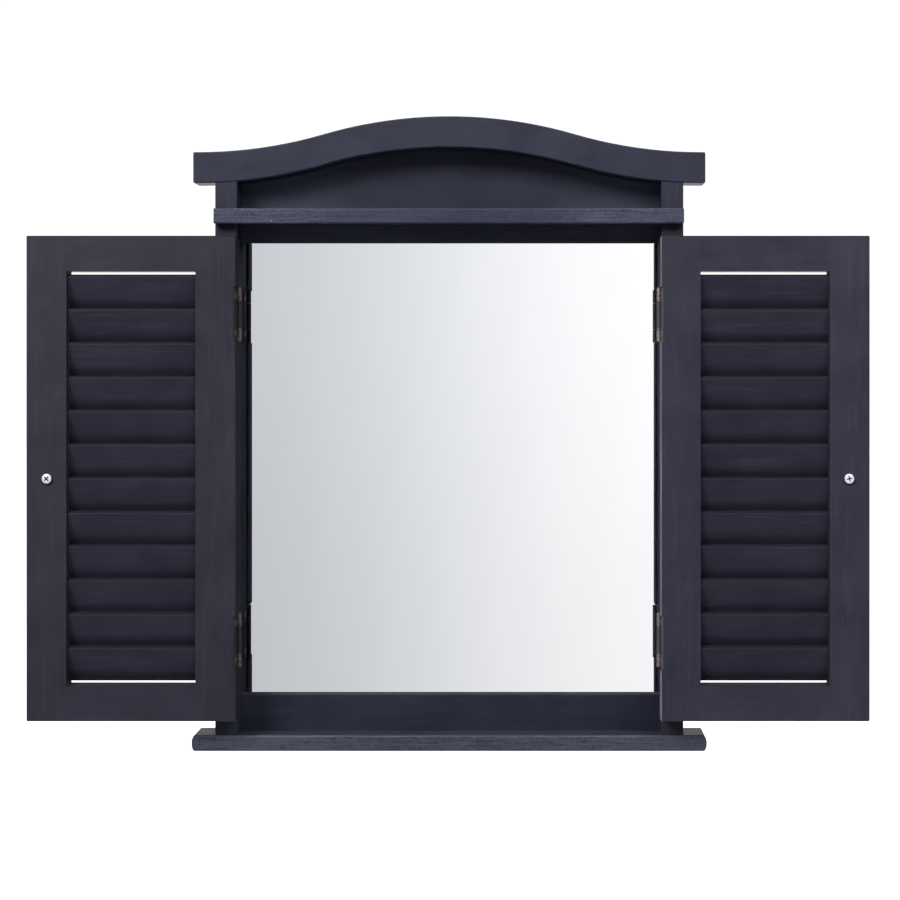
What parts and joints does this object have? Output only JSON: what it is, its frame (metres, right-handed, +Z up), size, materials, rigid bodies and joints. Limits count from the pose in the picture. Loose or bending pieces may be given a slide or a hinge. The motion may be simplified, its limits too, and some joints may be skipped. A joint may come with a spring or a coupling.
{
  "type": "shutter mirror",
  "caption": "Wall mirror set in a painted wooden window frame with an arched head and a sill, behind a pair of hinged louvred shutters that fold back flat beside it.",
  "frame": {"origin": "middle of the sill's lower rear edge: on the wall plane, at the bottom, halfway across", "axes": "+X to the viewer's right along the wall, +Y from the front into the wall, +Z up; the front faces -Y"},
  "size_m": [0.6946, 0.0496, 0.53],
  "materials": {
    "frame_paint": "dark slate-blue paint, satin, over wood",
    "shutter_paint": "dark slate-grey paint, satin, over wood",
    "slat_paint": "dark slate paint, satin, over wood",
    "mirror": "silvered float glass",
    "hardboard": "brown pressed hardboard, bare",
    "zinc_steel": "bright zinc-plated steel",
    "hinge_brass": "dull brass-plated steel",
    "knob_screw_steel": "bright nickel-plated steel"
  },
  "bodies": {
    "frame": {"sill": "frame_paint", "left_post": "frame_paint", "right_post": "frame_paint", "arch_rail": "frame_paint", "pediment_panel": "frame_paint", "ledge": "frame_paint", "mirror_top_rail": "frame_paint", "mirror_bottom_rail": "frame_paint", "mirror_glass": "mirror", "back_board": "hardboard", "back_board_pins": "zinc_steel", "pediment_pins": "zinc_steel", "left_hanger_plate": "zinc_steel", "right_hanger_plate": "zinc_steel", "hanger_screws": "zinc_steel", "frame_screws": "zinc_steel", "left_post_hinge_leaves": "hinge_brass", "right_post_hinge_leaves": "hinge_brass", "hinge_pins": "zinc_steel", "post_hinge_screws": "hinge_brass"},
    "left_shutter": {"left_shutter_hinge_stile": "shutter_paint", "left_shutter_free_stile": "shutter_paint", "left_shutter_top_rail": "shutter_paint", "left_shutter_bottom_rail": "shutter_paint", "left_shutter_hinge_leaves": "hinge_brass", "left_shutter_hinge_screws": "hinge_brass", "left_shutter_knob": "shutter_paint", "left_shutter_knob_screw": "knob_screw_steel", "left_slat_1": "slat_paint", "left_slat_2": "slat_paint", "left_slat_3": "slat_paint", "left_slat_4": "slat_paint", "left_slat_5": "slat_paint", "left_slat_6": "slat_paint", "left_slat_7": "slat_paint", "left_slat_8": "slat_paint", "left_slat_9": "slat_paint", "left_slat_10": "slat_paint", "left_slat_11": "slat_paint", "left_slat_12": "slat_paint"},
    "right_shutter": {"right_shutter_hinge_stile": "shutter_paint", "right_shutter_free_stile": "shutter_paint", "right_shutter_top_rail": "shutter_paint", "right_shutter_bottom_rail": "shutter_paint", "right_shutter_hinge_leaves": "hinge_brass", "right_shutter_hinge_screws": "hinge_brass", "right_shutter_knob": "shutter_paint", "right_shutter_knob_screw": "knob_screw_steel", "right_slat_1": "slat_paint", "right_slat_2": "slat_paint", "right_slat_3": "slat_paint", "right_slat_4": "slat_paint", "right_slat_5": "slat_paint", "right_slat_6": "slat_paint", "right_slat_7": "slat_paint", "right_slat_8": "slat_paint", "right_slat_9": "slat_paint", "right_slat_10": "slat_paint", "right_slat_11": "slat_paint", "right_slat_12": "slat_paint"}
  },
  "joints": [
    {"name": "left_shutter_hinge", "type": "hinge", "parent": "frame", "child": "left_shutter", "pos_m": [-0.1749, -0.0295, 0.2286], "axis": [0, 0, 1], "range_deg": [-4, 180]},
    {"name": "right_shutter_hinge", "type": "hinge", "parent": "frame", "child": "right_shutter", "pos_m": [0.1749, -0.0295, 0.2286], "axis": [0, 0, -1], "range_deg": [-4, 180]}
  ]
}
